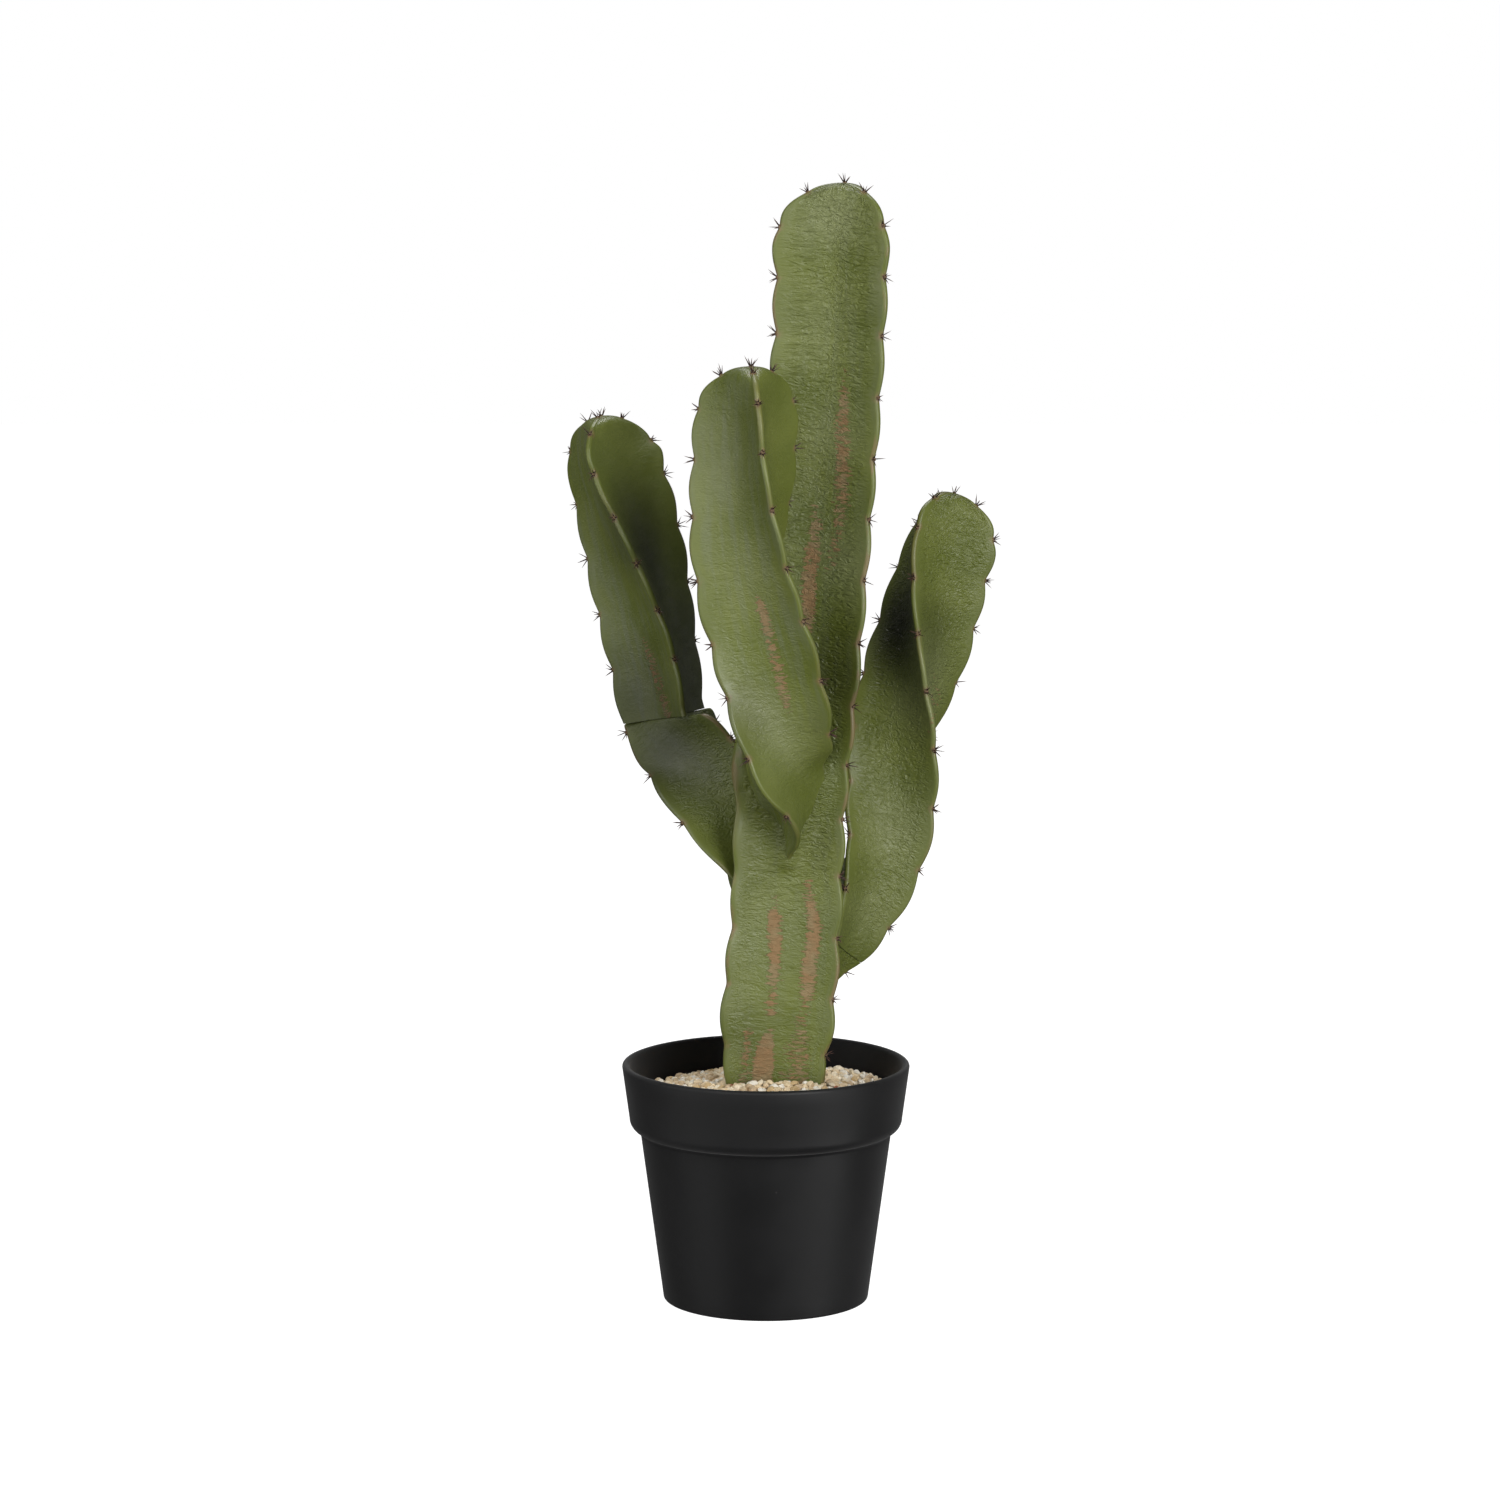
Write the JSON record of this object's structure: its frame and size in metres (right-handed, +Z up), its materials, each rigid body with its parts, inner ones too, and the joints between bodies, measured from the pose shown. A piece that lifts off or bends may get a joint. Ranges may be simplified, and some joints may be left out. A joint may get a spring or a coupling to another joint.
{
  "type": "potted cereus cactus",
  "caption": "Columnar cactus with ribbed, scalloped and twisting upright stems and small dark spine tufts, in gravel in a tapered black nursery pot with a deep collar.",
  "frame": {"origin": "centre of the pot's underside, on the surface that the pot stands on", "axes": "+Z up along the pot's axis and the trunk, +X to the right and -Y towards the viewer as in the picture"},
  "size_m": [0.233, 0.1668, 0.5934],
  "materials": {
    "pot": "satin",
    "soil": "matte",
    "gravel": "matte",
    "stem": "satin"
  },
  "bodies": {
    "root": {"pot": "pot", "soil": "soil", "gravel": "gravel", "trunk": "stem", "front_arm": "stem", "left_arm": "stem", "right_arm": "stem"}
  },
  "joints": []
}
